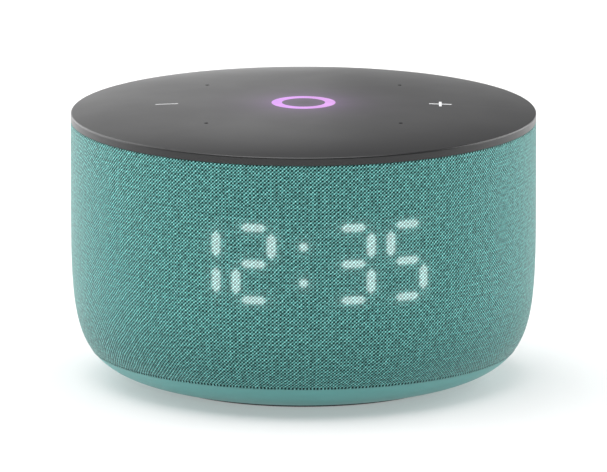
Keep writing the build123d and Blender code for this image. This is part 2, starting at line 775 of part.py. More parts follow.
with BuildPart() as driver_basket:
    with BuildSketch(Plane.XZ):
        with BuildLine():
            Polyline(
                (basket_top_radius, flange_bottom),
                (driver_flange_radius, flange_bottom),
                (driver_flange_radius, flange_top),
                (basket_top_radius - basket_wall, flange_top),
                (basket_top_radius - basket_wall, flange_bottom),
                (basket_foot_radius - basket_wall, basket_foot + spider_ledge_rise),
                (basket_foot_radius - spider_ledge_width, basket_foot + spider_ledge_rise),
                (basket_foot_radius - spider_ledge_width, basket_foot + basket_foot_thickness),
                (gap_radius + loose_gap, basket_foot + basket_foot_thickness),
                (gap_radius + loose_gap, basket_foot),
                (basket_foot_radius, basket_foot),
                (basket_foot_radius, basket_foot + spider_ledge_rise),
                (basket_top_radius, flange_bottom),
            )
        make_face()
    revolve(axis=Axis.Z)
    # Tab for the leads, windows in the sloping wall, and holes of the mounting screws.
    tab_height = basket_foot + basket_depth / 2
    with Locations((-(lead_start + basket_foot_radius) / 2, 0, tab_height)):
        Box(lead_start - basket_foot_radius + tab_overhang, tab_width, tab_thickness)
    window_circle = (basket_foot_radius + basket_top_radius) / 2
    with PolarLocations(window_circle, basket_window_count, start_angle=180 / basket_window_count):
        with Locations((0, 0, tab_height + tab_thickness)):
            Box(basket_window_width, basket_window_width, basket_window_height, mode=Mode.SUBTRACT)
    with BuildSketch(Plane.XY.offset(flange_bottom)):
        with driver_screw_spots:
            Circle(small_shank + fit_gap)
    extrude(amount=driver_flange_thickness, mode=Mode.SUBTRACT)
save(driver_basket, "driver_basket")

with BuildPart() as driver_top_plate:
    add(ring(motor_radius, gap_radius, magnet_top, basket_foot))
save(driver_top_plate, "driver_top_plate")

with BuildPart() as driver_magnet:
    add(ring(motor_radius, gap_radius + magnet_setback, magnet_bottom, magnet_top))
save(driver_magnet, "driver_magnet")

with BuildPart() as driver_pole:
    add(ring(motor_radius, 0, motor_bottom, magnet_bottom))
    add(ring(pole_radius, 0, magnet_bottom, basket_foot))
    add(ring(pole_radius / 3, 0, motor_bottom, basket_foot), mode=Mode.SUBTRACT)
save(driver_pole, "driver_pole")

with BuildPart() as voice_coil_former:
    add(ring(former_radius, former_inner_radius, neck_height - coil_drop, neck_height + cone_thickness))
save(voice_coil_former, "voice_coil_former")

with BuildPart() as voice_coil:
    add(ring(coil_radius, former_radius, neck_height - coil_drop, neck_height - coil_drop + coil_height))
save(voice_coil, "voice_coil")

with BuildPart() as driver_cone:
    with BuildSketch(Plane.XZ):
        with BuildLine():
            Polyline(
                (former_radius, neck_height),
                (cone_radius, flange_top),
                (cone_radius, flange_top + cone_thickness),
                (former_radius, neck_height + cone_thickness),
                (former_radius, neck_height),
            )
        make_face()
    revolve(axis=Axis.Z)
save(driver_cone, "driver_cone")

with BuildPart() as dust_cap:
    cap_seat = neck_height + cone_thickness + (cap_radius - former_radius) * cone_slope
    with BuildSketch(Plane.XZ):
        with BuildLine():
            Bezier((cap_radius, cap_seat), (cap_radius * 0.7, cap_seat + cap_rise), (0, cap_seat + cap_rise))
            Line((0, cap_seat + cap_rise), (0, cap_seat + cap_rise - cone_thickness))
            Bezier(
                (0, cap_seat + cap_rise - cone_thickness),
                (cap_radius * 0.7 - cone_thickness, cap_seat + cap_rise - cone_thickness),
                (cap_radius - cone_thickness, cap_seat),
            )
            Line((cap_radius - cone_thickness, cap_seat), (cap_radius, cap_seat))
        make_face()
    revolve(axis=Axis.Z)
save(dust_cap, "dust_cap")

with BuildPart() as driver_surround:
    roll_half = (foot_inner - cone_radius) / 2
    with BuildSketch(Plane.XZ):
        with Locations((cone_radius + roll_half, flange_top)):
            Ellipse(roll_half, roll_height)
            Ellipse(roll_half - surround_thickness, roll_height - surround_thickness, mode=Mode.SUBTRACT)
        with Locations((cone_radius + roll_half, flange_top - roll_height)):
            Rectangle(4 * roll_half, 2 * roll_height, mode=Mode.SUBTRACT)
        with Locations(((foot_inner + foot_outer) / 2, flange_top + surround_thickness / 2)):
            Rectangle(foot_outer - foot_inner + surround_thickness, surround_thickness)
    revolve(axis=Axis.Z)
save(driver_surround, "driver_surround")

with BuildPart() as driver_spider:
    spider_low = basket_foot + spider_ledge_rise
    add(ring(spider_radius, former_radius, spider_low, spider_low + spider_thickness))
    # Rolled waves of the spider, as raised rings.
    for number in range(wave_count):
        wave = first_wave + number * wave_pitch
        add(ring(wave + wave_half, wave - wave_half, spider_low, spider_low + 2 * spider_thickness))
save(driver_spider, "driver_spider")

with BuildPart() as driver_screws:
    with driver_screw_spots:
        with Locations((0, 0, flange_top)):
            grip = driver_flange_thickness + gasket_thickness + lid_thickness - lid_screw_room
            add(fastener(small_screw, grip))
save(driver_screws, "driver_screws")

# ================================================================ main board
board_mid = board_top + connector_height / 2
top_connector_y = top_cable_y - cable_fold
front_connector_y = cable_fold - display_back

with BuildPart() as main_board:
    with BuildSketch(Plane.XY.offset(board_height)):
        Circle(main_board_radius)
        with Locations((0, board_tab_reach / 2)):
            Rectangle(board_tab_width, board_tab_reach)
        Circle(board_tab_reach, mode=Mode.INTERSECT)
        with boss_spots:
            Circle(post_radius + loose_gap, mode=Mode.SUBTRACT)
        with board_screw_spots:
            Circle(small_shank + fit_gap, mode=Mode.SUBTRACT)
    extrude(amount=main_board_thickness)
save(main_board, "main_board")

with BuildPart() as main_board_screws:
    with board_screw_spots:
        with Locations((0, 0, board_top)):
            add(fastener(small_screw, main_board_thickness + board_grip))
save(main_board_screws, "main_board_screws")

with BuildPart() as board_connectors:
    # Of both ribbon cables and of the speaker leads; the first one is on the top board.
    with Locations(
        (top_cable_x, top_connector_y, top_board_top + connector_height / 2),
        (top_cable_x, top_connector_y, board_mid),
        (0, front_connector_y, board_mid),
        (-lead_down, 0, board_mid),
    ):
        Box(connector_length, connector_depth, connector_height)
save(board_connectors, "board_connectors")

with BuildPart() as amplifier_chip:
    add(boxes_on(board_top, amplifier_size, amplifier_spot))
save(amplifier_chip, "amplifier_chip")

with BuildPart() as power_inductors:
    add(boxes_on(board_top, inductor_size, *inductor_spots))
    fillet(power_inductors.edges().filter_by(Axis.Z), inductor_corner)
save(power_inductors, "power_inductors")

with BuildPart() as capacitors:
    with BuildSketch(Plane.XY.offset(board_top)):
        with GridLocations(capacitor_pitch, capacitor_pitch, 2, 2):
            Circle(capacitor_radius)
    extrude(amount=capacitor_height)
    fillet(capacitors.edges().group_by(Axis.Z)[-1], capacitor_edge)
save(capacitors, "capacitors")

with BuildPart() as memory_chip:
    add(boxes_on(board_top, memory_size, memory_spot))
save(memory_chip, "memory_chip")

with BuildPart() as wireless_module:
    add(boxes_on(board_top, wireless_size, wireless_spot))
save(wireless_module, "wireless_module")

# The processor sits under the board in a shielding can, and gives its heat to the spreader.
with BuildPart() as processor_shield:
    add(boxes_on(shield_bottom, shield_size, (0, 0)))
save(processor_shield, "processor_shield")

with BuildPart() as thermal_pad:
    add(boxes_on(pad_bottom, (pad_width, pad_width, shield_bottom - pad_bottom), (0, 0)))
save(thermal_pad, "thermal_pad")

with BuildPart() as heat_spreader:
    add(ring(spreader_radius, 0, spreader_height, spreader_height + spreader_thickness))
save(heat_spreader, "heat_spreader")

with BuildPart() as wireless_antennas:
    antenna_low = chamber_floor + antenna_rise
    antenna_high = antenna_low + antenna_height
    antenna_face = chamber_radius + flex_thickness
    for side_angle in (0, 180):
        add(arc_block(antenna_face, chamber_radius, side_angle, antenna_half_angle, antenna_low, antenna_high))
save(wireless_antennas, "wireless_antennas")

# ================================================================ cables inside
with BuildPart() as display_ribbon_cable:
    display_route = (
        (-cable_face - flex_thickness, display_low),
        (-cable_face - flex_thickness, board_mid),
        (front_connector_y - connector_depth / 2, board_mid),
    )
    add(ribbon(display_route, 0))
save(display_ribbon_cable, "display_ribbon_cable")

with BuildPart() as top_ribbon_cable:
    top_route = (
        (top_connector_y + connector_depth / 2, board_mid),
        (top_cable_y, board_mid),
        (top_cable_y, top_board_top + connector_height / 2),
        (top_connector_y + connector_depth / 2, top_board_top + connector_height / 2),
    )
    add(ribbon(top_route, top_cable_x))
save(top_ribbon_cable, "top_ribbon_cable")

tab_bottom = tab_height - tab_thickness / 2
with BuildPart() as speaker_leads:
    for side in (-1, 1):
        with BuildLine(Plane.XZ.offset(side * lead_spacing / 2)) as lead_path:
            FilletPolyline(
                (-lead_start, tab_bottom),
                (-lead_start, tab_bottom - lead_drop),
                (-lead_down, tab_bottom - lead_shift_drop),
                (-lead_down, board_top + connector_height),
                radius=lead_bend,
            )
        with BuildSketch(Plane(origin=lead_path.line @ 0, z_dir=lead_path.line % 0)):
            Circle(lead_radius)
        sweep(path=lead_path.line)
save(speaker_leads, "speaker_leads")

with BuildPart() as lead_grommet:
    with BuildSketch(Plane.XY.offset(chamber_floor)):
        with Locations((-lead_down, 0)):
            Circle(grommet_radius)
    extrude(amount=chamber_wall)
    with BuildSketch(Plane.XY.offset(chamber_floor + chamber_wall)):
        with Locations((-lead_down, 0)):
            Circle(grommet_radius + grommet_rim)
    extrude(amount=grommet_rim_thickness)
    with BuildSketch(Plane.XY.offset(chamber_floor)):
        with Locations((-lead_down, lead_spacing / 2), (-lead_down, -lead_spacing / 2)):
            Circle(lead_radius + lens_gap)
    extrude(amount=2 * chamber_wall, mode=Mode.SUBTRACT)
save(lead_grommet, "lead_grommet")

# ================================================================ rear ports
knob_middle = switch_offset - switch_travel / 2
knob_back = switch_floor + loose_gap

with BuildPart() as rear_port_panel:
    add(port_block(-port_lip_rise, shell_depth, -fit_gap))
    add(port_block(-port_lip_rise, 0, port_lip))
    # Opening of the power socket, pocket of the slider and slot of its stem.
    with BuildSketch(Plane.XZ):
        with Locations((0, port_centre)):
            SlotOverall(socket_width + 2 * loose_gap, socket_height + 2 * loose_gap)
    extrude(amount=-2 * body_radius, mode=Mode.SUBTRACT)
    with BuildSketch(Plane.XZ.offset(-switch_floor)):
        with Locations((switch_offset, port_centre)):
            Rectangle(knob_length + switch_travel + 2 * loose_gap, knob_height + 2 * loose_gap)
    extrude(amount=-body_radius, mode=Mode.SUBTRACT)
    with BuildSketch(Plane.XZ):
        with Locations((switch_offset, port_centre)):
            Rectangle(stem_length + switch_travel + 2 * loose_gap, stem_height + 2 * loose_gap)
    extrude(amount=-2 * body_radius, mode=Mode.SUBTRACT)
save(rear_port_panel, "rear_port_panel")

with BuildPart() as power_socket:
    with BuildSketch(Plane.XZ.offset(-socket_front)):
        with Locations((0, port_centre)):
            SlotOverall(socket_width, socket_height)
    extrude(amount=socket_depth)
    with BuildSketch(Plane.XZ.offset(-socket_front)):
        with Locations((0, port_centre)):
            SlotOverall(socket_width - 2 * socket_wall, socket_height - 2 * socket_wall)
    extrude(amount=socket_depth - socket_wall, mode=Mode.SUBTRACT)
    with BuildSketch(Plane.XZ.offset(socket_depth - socket_front)):
        with Locations((0, port_centre)):
            Rectangle(tongue_width, tongue_thickness)
    extrude(amount=tongue_setback - socket_depth)
save(power_socket, "power_socket")

with BuildPart() as mute_switch:
    switch_length, switch_depth, switch_height = switch_size
    with Locations((switch_offset, switch_front - switch_depth / 2, board_top + switch_height / 2)):
        Box(switch_length, switch_depth, switch_height)
    with BuildSketch(Plane.XZ.offset(-switch_front)):
        with Locations((switch_offset, port_centre)):
            Rectangle(stem_length + switch_travel + 2 * loose_gap, stem_height + 2 * loose_gap)
    extrude(amount=stem_room, mode=Mode.SUBTRACT)
save(mute_switch, "mute_switch")

with BuildPart() as mute_slider:
    with BuildSketch(Plane.XZ.offset(-knob_back)):
        with Locations((knob_middle, port_centre)):
            Rectangle(knob_length, knob_height)
    extrude(amount=-knob_depth)
    # Grip grooves across the knob.
    with BuildSketch(Plane.XZ.offset(-knob_back - knob_depth)):
        with Locations((knob_middle, port_centre)):
            with GridLocations(groove_pitch, 0, groove_count, 1):
                Rectangle(groove_width, knob_height - 2 * groove_margin)
    extrude(amount=groove_depth, mode=Mode.SUBTRACT)
    with BuildSketch(Plane.XZ.offset(-knob_back)):
        with Locations((knob_middle, port_centre)):
            Rectangle(stem_length, stem_height)
    extrude(amount=knob_back - switch_front + stem_entry)
save(mute_slider, "mute_slider")

# ================================================================ base
with BuildPart() as base_shell:
    with BuildSketch(Plane.XZ):
        lip_inner = shell_depth + fit_gap + lip_wall
        lip_low = base_bottom + lip_inner
        add(wall_section(0, base_wall, 0, seam_height))
        add(wall_section(base_wall / 2, lip_inner, lip_low, seam_height))
        add(wall_section(shell_depth + fit_gap, lip_inner, lip_low, seam_height + lip_rise))
    revolve(axis=Axis.Z)
    # Posts of the main board and of the heat spreader, and pads round the base screws.
    with BuildSketch(Plane.XY.offset(floor_top - base_wall / 2)):
        with board_screw_spots:
            Circle(post_radius)
    extrude(amount=board_height - floor_top + base_wall / 2)
    with BuildSketch(Plane.XY.offset(floor_top - base_wall / 2)):
        with PolarLocations(spreader_post_circle, spreader_post_count, start_angle=90):
            Circle(post_radius)
    extrude(amount=spreader_height - floor_top + base_wall / 2)
    with BuildSketch(Plane.XY.offset(floor_top - base_wall / 2)):
        with boss_spots:
            Circle(screw_pad_radius)
    extrude(amount=boss_bottom - floor_top + base_wall / 2)
    with BuildSketch(Plane.XY.offset(board_height)):
        with board_screw_spots:
            Circle(small_shank)
    extrude(amount=-post_bore, mode=Mode.SUBTRACT)
    # Recess of the rubber foot and holes of the base screws.
    add(ring(foot_radius + fit_gap, 0, 0, foot_thickness), mode=Mode.SUBTRACT)
    with BuildSketch(Plane.XY):
        with boss_spots:
            Circle(large_head + fit_gap)
    extrude(amount=screw_seat, mode=Mode.SUBTRACT)
    with BuildSketch(Plane.XY):
        with boss_spots:
            Circle(large_shank + fit_gap)
    extrude(amount=2 * boss_bottom, mode=Mode.SUBTRACT)
save(base_shell, "base_shell")

with BuildPart() as base_screws:
    with boss_spots:
        with Locations(Location((0, 0, screw_seat), (180, 0, 0))):
            add(fastener(large_screw, boss_bottom - screw_seat + base_grip))
save(base_screws, "base_screws")

with BuildPart() as rubber_foot:
    add(ring(foot_radius, 0, 0, foot_thickness))
    fillet(rubber_foot.edges().group_by(Axis.Z)[0], foot_edge_radius)
    add(ring(foot_radius - foot_rim, 0, 0, foot_hollow_depth), mode=Mode.SUBTRACT)
save(rubber_foot, "rubber_foot")
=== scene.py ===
# %% [markdown]
# # A drum-shaped smart speaker
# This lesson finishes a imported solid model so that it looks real. Every solid whose shape is already true
# stays as it is and gets a proper finish. Only the knitted sleeve is made again, because no solid can carry
# a knit.

# %% Load the solid model
import json
import math

import bpy
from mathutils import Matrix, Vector


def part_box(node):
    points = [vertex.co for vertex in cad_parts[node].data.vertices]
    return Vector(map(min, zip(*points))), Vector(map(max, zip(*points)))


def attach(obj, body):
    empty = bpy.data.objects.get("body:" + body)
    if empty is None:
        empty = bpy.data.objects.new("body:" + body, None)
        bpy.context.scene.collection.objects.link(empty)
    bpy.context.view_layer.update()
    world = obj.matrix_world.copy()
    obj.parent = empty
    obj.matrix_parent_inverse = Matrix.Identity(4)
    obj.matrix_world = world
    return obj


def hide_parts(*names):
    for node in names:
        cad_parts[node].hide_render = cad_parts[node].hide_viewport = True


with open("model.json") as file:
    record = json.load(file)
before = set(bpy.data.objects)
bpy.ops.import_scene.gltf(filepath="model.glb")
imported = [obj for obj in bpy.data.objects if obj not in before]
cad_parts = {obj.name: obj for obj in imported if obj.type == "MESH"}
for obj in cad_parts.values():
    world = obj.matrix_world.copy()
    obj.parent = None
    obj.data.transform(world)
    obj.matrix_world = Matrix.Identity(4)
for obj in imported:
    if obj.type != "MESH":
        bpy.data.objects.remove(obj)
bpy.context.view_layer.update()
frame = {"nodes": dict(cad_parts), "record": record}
nodes, record = frame["nodes"], frame["record"]

# %% [markdown]
# ## Sizes
# The sleeve follows the drum's side: straight at the top, then a long curve that tucks in over the base.
# The curve is written as a Bezier because two straight pulls describe the whole tuck. The other sizes say
# where the clock's digits stand, since their light has to fall on the right stitches.

# %% Sizes of the drum and of the clock
MM = 0.001
sleeve_box_low, sleeve_box_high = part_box("fabric_sleeve")
body_radius = sleeve_box_high.x
sleeve_low, sleeve_high = sleeve_box_low.z, sleeve_box_high.z
side_curve = [Vector(point) * MM for point in ((56, 42.3), (56, 12.5), (55.1, 4.4), (37.8, 0.8))]
port_low, port_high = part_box("rear_port_panel")
display_low, display_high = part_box("lit_segment_lenses")
display_middle = (display_low.z + display_high.z) / 2
inner_digit, outer_digit, digit_half = (math.radians(a) for a in (12.3, 26.3, 4.45))
digit_height, segment_length = 17.6 * MM, 6.2 * MM
lying_width, upright_width = 1.9 * MM, 2.2 * MM  # the cloth spreads the light sideways
dot_radius = 1.05 * MM
print("sleeve from", round(sleeve_low / MM, 2), "to", round(sleeve_high / MM, 2), "mm")
print("clock at", round(display_middle / MM, 2), "mm")


# %% [markdown]
# ## Finishes: a small kit
# Every finish is a node tree, so it has no picture to lose and stays sharp at any distance. Most trees need
# the same few moves: make a node, plug something into it, do a sum, ease a value, blend two colours. One
# helper for each keeps those moves to one line.

# %% Helpers for node trees
def new_finish(name):
    """A new material and its Principled shader."""
    finish = bpy.data.materials.new(name)
    finish.use_nodes = True
    return finish, finish.node_tree.nodes["Principled BSDF"]


def add_node(finish, kind, inputs=None, **settings):
    """A node with its settings, and with values or sockets plugged into its inputs."""
    node = finish.node_tree.nodes.new(kind)
    for key, value in settings.items():
        setattr(node, key, value)
    for key, value in (inputs or {}).items():
        if isinstance(value, bpy.types.NodeSocket):
            finish.node_tree.links.new(value, node.inputs[key])
        else:
            node.inputs[key].default_value = value
    return node


def maths(finish, operation, first, second=0.0, third=0.0):
    """The result of one sum on sockets or numbers."""
    return add_node(
        finish, "ShaderNodeMath", {0: first, 1: second, 2: third}, operation=operation
    ).outputs[0]


def smooth_step(finish, value, low, high, to_low=0.0, to_high=1.0):
    """value eased from to_low to to_high as it goes from low to high."""
    sockets = {"Value": value, "From Min": low, "From Max": high, "To Min": to_low, "To Max": to_high}
    return add_node(finish, "ShaderNodeMapRange", sockets, interpolation_type="SMOOTHSTEP").outputs["Result"]


def blend_colours(finish, amount, first, second, kind="MIX"):
    """Two colours blended by an amount."""
    node = add_node(finish, "ShaderNodeMix", data_type="RGBA", blend_type=kind)
    for socket, value in zip((node.inputs[0], node.inputs[6], node.inputs[7]), (amount, first, second)):
        if isinstance(value, bpy.types.NodeSocket):
            finish.node_tree.links.new(value, socket)
        else:
            socket.default_value = value
    return node.outputs[2]


def plug(finish, source, shader, socket):
    """Links a socket to one of the shader's inputs."""
    finish.node_tree.links.new(source, shader.inputs[socket])


print("helpers ready")


# %% [markdown]
# ## The knitted sleeve: its shape
# The real sleeve is a tube of warp-knitted polyester, pulled over the frame and turned in at both ends. It
# could be one cylinder, but light has to shine through it only where the clock's segments are. So it is a
# grid whose rows and columns stand closest together over the clock, and each point stores how much light it
# lets through. A second patch of close rows lets the hole for the rear ports have a clean edge under the
# panel's lip.

# %% Side line of the drum
def on_curve(points, t):
    """A point of a cubic Bezier."""
    a, b, c, d = points
    return a * (1 - t) ** 3 + b * 3 * t * (1 - t) ** 2 + c * 3 * t * t * (1 - t) + d * t**3


curve_steps = 400
curve_samples = [on_curve(side_curve, i / curve_steps) for i in range(curve_steps + 1)]


def skin_radius(height):
    """Radius of the drum's side at a height."""
    if height >= curve_samples[0].y:
        return body_radius
    for upper, lower in zip(curve_samples, curve_samples[1:]):
        if lower.y <= height <= upper.y:
            share = (height - lower.y) / (upper.y - lower.y)
            return lower.x + (upper.x - lower.x) * share
    return curve_samples[-1].x


print("radius at the seam", round(skin_radius(sleeve_low) / MM, 2), "mm")


# %% Rows and columns of the sleeve
def steps(start, stop, size):
    """Numbers from start up to, not including, stop, about size apart."""
    count = max(1, round(abs(stop - start) / size))
    return [start + (stop - start) * i / count for i in range(count)]


edge_roll = 0.45 * MM
fine, medium, coarse = 0.23 * MM, 0.42 * MM, 1.3 * MM
port_middle_z = (port_low.z + port_high.z) / 2
port_reach = (port_high.z - port_low.z) / 2 + 1 * MM
clock_reach = digit_height / 2 + 2.4 * MM
row_heights = (
    steps(sleeve_low + edge_roll, port_middle_z - port_reach, medium)
    + steps(port_middle_z - port_reach, port_middle_z + port_reach, medium)
    + steps(port_middle_z + port_reach, display_middle - clock_reach, coarse)
    + steps(display_middle - clock_reach, display_middle + clock_reach, fine)
    + steps(display_middle + clock_reach, sleeve_high - edge_roll, coarse)
    + [sleeve_high - edge_roll]
)
clock_margin, port_margin = math.radians(2.5), math.radians(1.5)
narrowest = body_radius * 0.95  # the side tucks in where the ports are
clock_half = outer_digit + digit_half + clock_margin
port_half = math.asin(port_high.x / narrowest) + port_margin
turn = [  # angles from the front, rising anticlockwise seen from above
    (-clock_half, clock_half, fine),
    (clock_half, math.pi - port_half, coarse),
    (math.pi - port_half, math.pi + port_half, medium),
    (math.pi + port_half, 2 * math.pi - clock_half, coarse),
]
column_angles = [a for low, high, size in turn for a in steps(low, high, size / body_radius)]
print(len(row_heights), "rows and", len(column_angles), "columns")


# %% Section of the sleeve, with its turned-in edges
def rolled_edge(centre_r, centre_z, inner_r, up):
    """Points of a turned-in edge, from the outer side inwards."""
    corner = [
        (centre_r + edge_roll * math.cos(a), centre_z + up * edge_roll * math.sin(a))
        for a in (math.radians(d) for d in (22.5, 45, 67.5, 90))
    ]
    return corner + [(inner_r, corner[-1][1])]


turned_in = 2.2 * MM
hair = 0.02 * MM  # keeps the turned edges just clear of the plastic above and below
low_r, high_r = skin_radius(sleeve_low), skin_radius(sleeve_high)
low_edge = rolled_edge(
    skin_radius(row_heights[0]) - edge_roll, row_heights[0] + hair, low_r - turned_in, -1
)
high_edge = rolled_edge(high_r - edge_roll, row_heights[-1] - hair, high_r - turned_in, 1)
section = low_edge[::-1] + [(skin_radius(z), z) for z in row_heights] + high_edge
along = [0.0]
for (r0, z0), (r1, z1) in zip(section, section[1:]):
    along.append(along[-1] + math.hypot(r1 - r0, z1 - z0))
print("cloth from edge to edge:", round(along[-1] / MM, 1), "mm")

# %% [markdown]
# ## Light behind the cloth
# The clock is a row of seven-segment digits behind the sleeve, so what shows is each segment's shape with
# the stitch still visible in it. A point's light is worked out from how far it lies inside the nearest lit
# segment, with a soft edge as wide as the cloth spreads the light. The digits show a plain time.

# %% Lit segments of the clock
segment_places = {
    "top": (0, 1, True),
    "middle": (0, 0, True),
    "bottom": (0, -1, True),
    "upper_left": (-1, 0.5, False),
    "lower_left": (-1, -0.5, False),
    "upper_right": (1, 0.5, False),
    "lower_right": (1, -0.5, False),
}
clock_face = {
    -outer_digit: ("upper_right", "lower_right"),
    -inner_digit: ("top", "upper_right", "middle", "lower_left", "bottom"),
    inner_digit: ("top", "upper_right", "middle", "lower_right", "bottom"),
    outer_digit: ("top", "upper_left", "middle", "lower_right", "bottom"),
}
lit = []
for digit_angle, names in clock_face.items():
    for name in names:
        side, level, lying = segment_places[name]
        across = (digit_angle + side * digit_half) * body_radius
        lit.append((across, display_middle + level * digit_height / 2, lying))
print(len(lit), "lit segments")

# %% How much light passes at a point
light_edge = 0.42 * MM
halo_reach, halo_strength = 1.1 * MM, 0.16


def outside_segments(across, height):
    """Distance outside the nearest lit shape, less than 0 inside it."""
    nearest = 1.0
    for middle, level, lying in lit:
        run, rise = abs(across - middle), abs(height - level)
        width = lying_width
        if not lying:
            run, rise, width = rise, run, upright_width
        slope = (run + rise - segment_length / 2) / math.sqrt(2)
        nearest = min(nearest, max(rise - width / 2, slope))
    for level in (-1, 1):
        dot = math.hypot(across, height - display_middle - level * digit_height / 4)
        nearest = min(nearest, dot - dot_radius)
    return nearest


def light_through(across, height):
    """Share of the clock's light that passes the cloth at a point."""
    if abs(across) > clock_half * body_radius or abs(height - display_middle) > clock_reach:
        return 0.0
    distance = outside_segments(across, height)
    core = min(1.0, max(0.0, 0.5 - distance / (2 * light_edge)))
    core = core * core * (3 - 2 * core)
    halo = halo_strength * math.exp(-max(0.0, distance) / halo_reach)
    return max(core, halo)


print("light in a segment's middle:", light_through(lit[0][0], lit[0][1]))

# %% Build the sleeve
port_half_width, port_half_height, port_round = port_high.x - 0.5 * MM, port_reach - 1.5 * MM, 2.4 * MM


def in_port(x, y, z):
    """True inside the hole of the rear ports, a rounded rectangle seen from behind."""
    if y < 0:
        return False
    run = abs(x) - (port_half_width - port_round)
    rise = abs(z - port_middle_z) - (port_half_height - port_round)
    return math.hypot(max(run, 0), max(rise, 0)) + min(max(run, rise), 0) < port_round


vertices, light = [], []
for radius, height in section:
    for angle in column_angles:
        vertices.append((radius * math.sin(angle), -radius * math.cos(angle), height))
        light.append(light_through(angle * body_radius, height) if angle < clock_half else 0.0)
columns = len(column_angles)
faces, corners = [], []
for row in range(len(section) - 1):
    for column in range(columns):
        following = (column + 1) % columns
        face = (
            row * columns + column,
            row * columns + following,
            (row + 1) * columns + following,
            (row + 1) * columns + column,
        )
        middle = sum((Vector(vertices[i]) for i in face), Vector()) / 4
        if in_port(*middle):
            continue
        faces.append(face)
        start = column_angles[column]
        stop = column_angles[following] if following else column_angles[0] + 2 * math.pi
        for angle, level in ((start, row), (stop, row), (stop, row + 1), (start, row + 1)):
            corners.append((angle * body_radius, along[level]))
sleeve_mesh = bpy.data.meshes.new("knitted_sleeve")
sleeve_mesh.from_pydata(vertices, [], faces)
stitch_map = sleeve_mesh.uv_layers.new(name="stitches")
stitch_map.data.foreach_set("uv", [value for corner in corners for value in corner])
sleeve_mesh.attributes.new("light_through", "FLOAT", "POINT").data.foreach_set("value", light)
sleeve_mesh.polygons.foreach_set("use_smooth", [True] * len(faces))
sleeve = bpy.data.objects.new("knitted_sleeve", sleeve_mesh)
bpy.context.scene.collection.objects.link(sleeve)
print(len(faces), "faces in the sleeve")

# %% [markdown]
# ## Where the sleeve belongs
# The sleeve stands for the plain solid sleeve of the model and moves with the speaker's body. Its cloth is
# a strip as long as the drum is round, and as wide as from one turned edge to the other.

# %% Put the sleeve in its place
around = 2 * math.pi * body_radius
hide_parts("fabric_sleeve")
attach(sleeve, "speaker")
print("cloth cut to", round(around / MM), "by", round(along[-1] / MM), "mm")

# %% [markdown]
# ## The knitted sleeve: its finish
# Close up, the knit is a mesh of small dark holes in rows, every second row half a stitch along, with shiny
# yarn lying across between them. Waves drawn as cosines give exactly that lattice: their product peaks at
# every hole. A wave along the slant between the holes marks the floating yarn, and its shine is a painted
# highlight, a paler teal in the colour. A slow noise bends the rows a little, because no machine pulls a
# tube perfectly straight. Towards the lower edge, where the cloth tucks in over the base, a painted shade
# darkens the colour.

# %% Stitch lattice
stitches_round, stitch_height = 382, 0.88 * MM
wander_across, wander_up = 0.9, -0.7  # how far the rows bend, in stitches
knit, knit_shader = new_finish("teal_knit")
stitch_uv = add_node(knit, "ShaderNodeUVMap", uv_map="stitches").outputs["UV"]
split = add_node(knit, "ShaderNodeSeparateXYZ", {"Vector": stitch_uv})
slow_noise = {"Vector": stitch_uv, "Scale": 140.0, "Detail": 3.0, "Roughness": 0.6}
wander = add_node(knit, "ShaderNodeTexNoise", slow_noise)
drift = maths(knit, "SUBTRACT", wander.outputs["Fac"], 0.5)
across = maths(knit, "MULTIPLY", split.outputs["X"], stitches_round / around)
across = maths(knit, "MULTIPLY_ADD", drift, wander_across, across)
upward = maths(knit, "DIVIDE", split.outputs["Y"], stitch_height)
upward = maths(knit, "MULTIPLY_ADD", drift, wander_up, upward)
wave_across = maths(knit, "COSINE", maths(knit, "MULTIPLY", across, 2 * math.pi))
wave_upward = maths(knit, "COSINE", maths(knit, "MULTIPLY", upward, 2 * math.pi))
lattice = maths(knit, "MULTIPLY", wave_across, wave_upward)
kind_of_row = maths(knit, "ADD", wave_across, wave_upward)
print("stitches are", round(around / stitches_round / MM, 3), "mm wide")

# %% Holes and floating yarn
lattice_share, row_share = 0.7, 0.15
main_rows = maths(knit, "MULTIPLY", kind_of_row, row_share)
hole = smooth_step(knit, maths(knit, "MULTIPLY_ADD", lattice, lattice_share, main_rows), 0.0, 0.6)
slope = maths(knit, "SUBTRACT", across, upward)
slant = maths(knit, "COSINE", maths(knit, "MULTIPLY", slope, 2 * math.pi))
twill = maths(knit, "SINE", maths(knit, "MULTIPLY", slope, math.pi))
bar = maths(knit, "COSINE", maths(knit, "MULTIPLY", maths(knit, "ADD", across, upward), 2 * math.pi))
dash_depth, dash_level, twill_depth = -0.5, 0.64, 0.1
float_yarn = smooth_step(knit, slant, 0.2, -0.9)
dash = maths(knit, "MULTIPLY_ADD", bar, dash_depth, dash_level)
dash = maths(knit, "MULTIPLY_ADD", twill, twill_depth, dash)
float_yarn = maths(knit, "MULTIPLY", float_yarn, dash)
palest, darkest = 1.28, 0.68  # yarn takes the dye unevenly
# Painted shade: between these heights along the cloth its colour darkens towards the lower edge.
painted_shade_low, painted_shade_high, painted_shade_level = 2 * MM, 24 * MM, 0.78
wide_uv = add_node(knit, "ShaderNodeMapping", {"Vector": stitch_uv, "Scale": (0.55, 1.0, 1.0)})
patches = add_node(
    knit, "ShaderNodeTexNoise", {"Vector": wide_uv.outputs["Vector"], "Scale": 1250.0, "Detail": 1.0}
)
yarn_shade = smooth_step(knit, patches.outputs["Fac"], 0.3, 0.7, darkest, palest)
# Painted shade: the yarn colour is multiplied down to 0.78 near the lower turned edge.
painted_low_shade = smooth_step(knit, split.outputs["Y"], painted_shade_low, painted_shade_high, painted_shade_level, 1.0)
yarn_shade = maths(knit, "MULTIPLY", yarn_shade, painted_low_shade)
print("holes and yarn ready")
